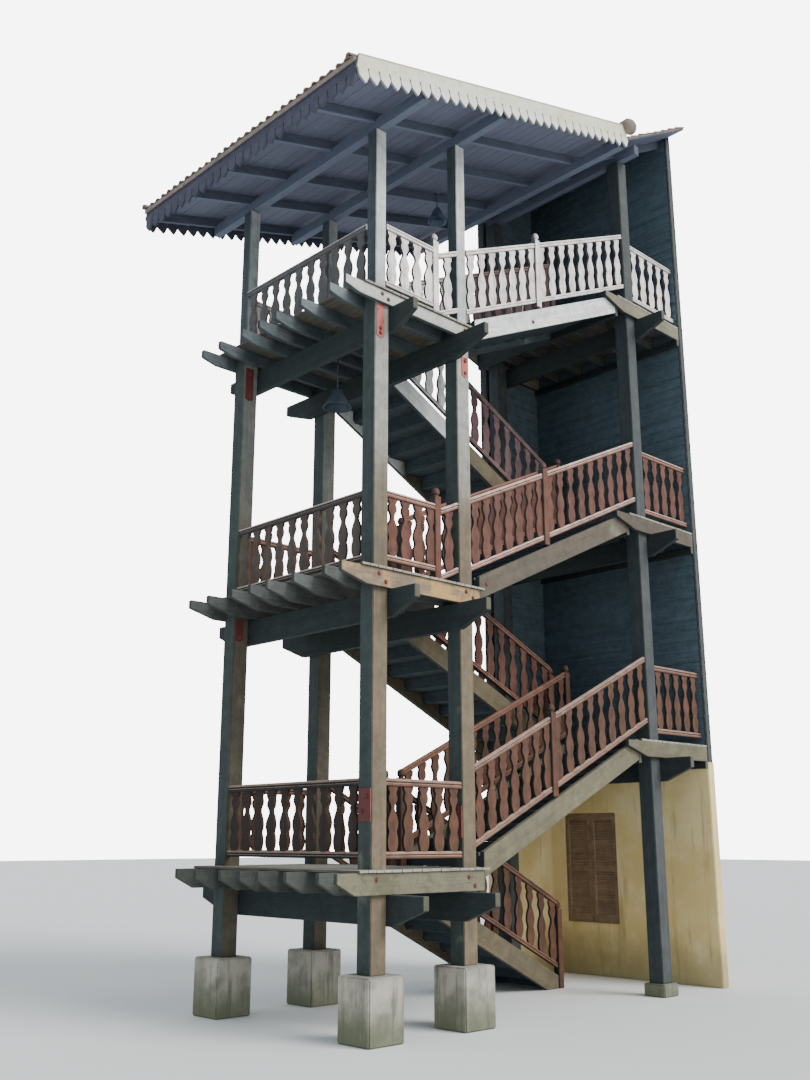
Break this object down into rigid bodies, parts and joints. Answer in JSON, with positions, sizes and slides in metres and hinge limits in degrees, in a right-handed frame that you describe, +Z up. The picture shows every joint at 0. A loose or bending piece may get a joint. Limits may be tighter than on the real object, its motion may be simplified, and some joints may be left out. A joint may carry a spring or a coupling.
{
  "type": "timber gallery-house stair tower",
  "caption": "Open timber stair tower of a gallery house: half landings, paired flights, sawn balustrades and a lean-to tiled roof with pointed fringe boards.",
  "frame": {"origin": "centre of the whole part's plan, on the ground", "axes": "+X from the landings along the flights to the house wall, +Y from the near side to the far side, +Z up"},
  "size_m": [7.135, 4.196, 12.557],
  "materials": {
    "dark_timber": "dark stained, matt",
    "grey_timber": "weathered, matt",
    "red_timber": "red-brown stain, satin",
    "pale_timber": "bleached, lichen spotted",
    "clapboard": "weathered, matt",
    "louvre_timber": "brown stain, satin",
    "concrete": "cast, rough",
    "plaster": "painted, rough",
    "clay_tile": "unglazed, mossy",
    "red_steel": "red paint, satin",
    "lamp_metal": "dark enamel"
  },
  "bodies": {
    "root": {"footing_near": "concrete", "lower_post_near": "grey_timber", "upper_post_near": "grey_timber", "footing_left": "concrete", "lower_post_left": "grey_timber", "upper_post_left": "grey_timber", "footing_right": "concrete", "lower_post_right": "grey_timber", "upper_post_right": "grey_timber", "footing_far": "concrete", "lower_post_far": "grey_timber", "upper_post_far": "grey_timber", "gallery_pad_near": "concrete", "gallery_post_near": "dark_timber", "gallery_pad_far": "concrete", "gallery_post_far": "dark_timber", "landing_1": "dark_timber", "gallery_1": "dark_timber", "near_flight_1": "grey_timber", "far_flight_1": "grey_timber", "front_rail_1": "red_timber", "side_rail_1": "red_timber", "back_rail_1": "red_timber", "near_flight_rail_1": "red_timber", "far_flight_rail_1": "red_timber", "well_rail_1": "red_timber", "gallery_end_rail_1": "red_timber", "landing_2": "dark_timber", "gallery_2": "dark_timber", "near_flight_2": "grey_timber", "far_flight_2": "grey_timber", "front_rail_2": "red_timber", "side_rail_2": "red_timber", "back_rail_2": "red_timber", "near_flight_rail_2": "red_timber", "far_flight_rail_2": "red_timber", "well_rail_2": "red_timber", "gallery_end_rail_2": "red_timber", "landing_3": "dark_timber", "gallery_3": "dark_timber", "near_flight_3": "grey_timber", "far_flight_3": "grey_timber", "front_rail_3": "red_timber", "side_rail_3": "red_timber", "back_rail_3": "red_timber", "near_flight_rail_3": "red_timber", "far_flight_rail_3": "red_timber", "well_rail_3": "red_timber", "gallery_end_rail_3": "red_timber", "top_gallery_rail": "red_timber", "ground_wall": "plaster", "ground_shutters": "louvre_timber", "upper_wall": "clapboard", "tower_roof": "clay_tile", "main_roof": "clay_tile", "roof_cap": "clay_tile", "roof_frame": "dark_timber", "eave_board": "dark_timber", "far_verge": "dark_timber", "near_verge": "pale_timber"}
  },
  "joints": []
}
